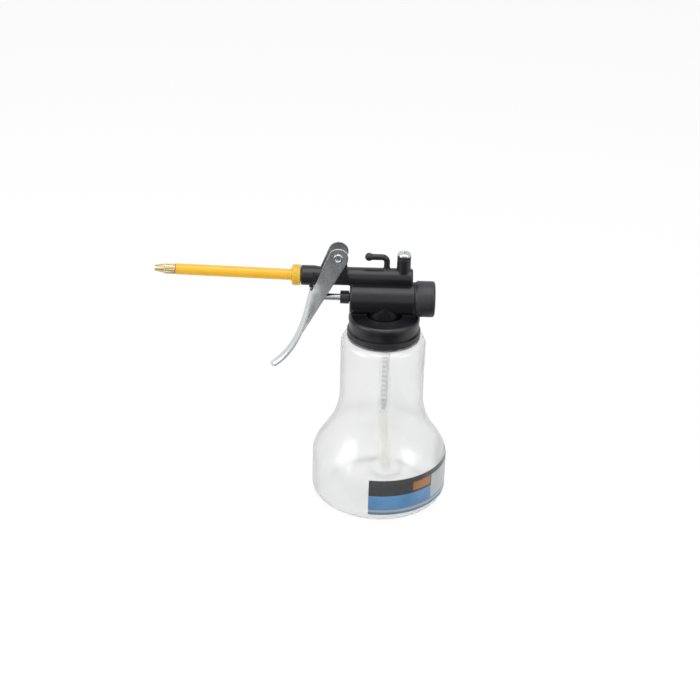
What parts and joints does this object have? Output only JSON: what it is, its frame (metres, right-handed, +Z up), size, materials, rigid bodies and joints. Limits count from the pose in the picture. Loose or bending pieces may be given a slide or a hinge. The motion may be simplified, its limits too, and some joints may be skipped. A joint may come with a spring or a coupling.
{
  "type": "oil can",
  "caption": "Hand-pump oil can: round translucent bottle, screw collar, horizontal pump with a folded squeeze lever, and a long turning nozzle tube with a metal tip.",
  "frame": {"origin": "middle of the bounding box on the standing plane", "axes": "+X from the nozzle towards the pump's rear cap, +Z up along the bottle's axis, +Y completes the frame"},
  "size_m": [0.1873, 0.088, 0.1747],
  "materials": {
    "bottle_plastic": "translucent blow-moulded plastic, soft sheen",
    "label_film": "printed film, plain colour fields",
    "black_plastic": "satin moulded black",
    "seal_rubber": "smooth black rubber",
    "pale_plastic": "natural moulded plastic",
    "bright_steel": "bright plated steel",
    "zinc_sheet": "zinc-plated folded sheet",
    "yellow_plastic": "moulded lemon yellow",
    "orange_plastic": "extruded orange yellow, soft gloss",
    "tip_brass": "turned brass, lightly dulled",
    "tube_plastic": "translucent extruded tube"
  },
  "bodies": {
    "bottle": {"bottle": "bottle_plastic", "label": "label_film"},
    "head": {"pump_body": "black_plastic", "neck_gasket": "seal_rubber", "cylinder_end_cap": "black_plastic", "end_cap_seal": "seal_rubber", "rod_gland": "black_plastic", "rod_seal": "seal_rubber", "return_spring": "bright_steel", "outlet_seal": "seal_rubber", "outlet_screw": "bright_steel", "outlet_spring": "bright_steel", "suction_stem": "tube_plastic", "inlet_spring": "bright_steel", "dip_tube": "tube_plastic", "suction_foot": "pale_plastic"},
    "collar": {"screw_collar": "black_plastic"},
    "squeeze_lever": {"lever": "zinc_sheet", "lever_pin": "bright_steel"},
    "plunger": {"piston_rod": "bright_steel", "piston": "pale_plastic", "piston_seal": "seal_rubber"},
    "nozzle": {"nozzle_nut": "yellow_plastic", "nozzle_tube": "orange_plastic", "nozzle_tip": "tip_brass", "nozzle_seal": "seal_rubber"},
    "inlet_valve": {"inlet_ball": "bright_steel"},
    "outlet_valve": {"outlet_ball": "bright_steel"}
  },
  "joints": [
    {"name": "head_lift", "type": "slide", "parent": "bottle", "child": "head", "axis": [0, 0, 1], "range_m": [0, 0.115]},
    {"name": "collar_turn", "type": "hinge", "parent": "head", "child": "collar", "pos_m": [0.04965, 0, 0.1217], "axis": [0, 0, 1], "continuous": true},
    {"name": "lever_pivot", "type": "hinge", "parent": "head", "child": "squeeze_lever", "pos_m": [0.01995, 0, 0.1685], "axis": [0, -1, 0], "range_deg": [0, 24], "stiffness_Nm_per_rad": 0.175, "springref_deg": -38.73},
    {"name": "rod_slide", "type": "slide", "parent": "head", "child": "plunger", "axis": [1, 0, 0], "range_m": [0, 0.0125], "deforming": ["return_spring"]},
    {"name": "nozzle_turn", "type": "hinge", "parent": "head", "child": "nozzle", "pos_m": [-0.00365, 0, 0.1541], "axis": [1, 0, 0], "continuous": true},
    {"name": "inlet_ball_lift", "type": "slide", "parent": "head", "child": "inlet_valve", "axis": [0, 0, 1], "range_m": [0, 0.0015], "stiffness_N_per_m": 10, "springref_m": -0.004, "deforming": ["inlet_spring"]},
    {"name": "outlet_ball_lift", "type": "slide", "parent": "head", "child": "outlet_valve", "axis": [0, 0, 1], "range_m": [0, 0.0012], "stiffness_N_per_m": 10, "springref_m": -0.004, "deforming": ["outlet_spring"]}
  ],
  "couplings": [
    {"joint": "rod_slide", "follows": "lever_pivot", "m_per_rad": 0.0296}
  ]
}
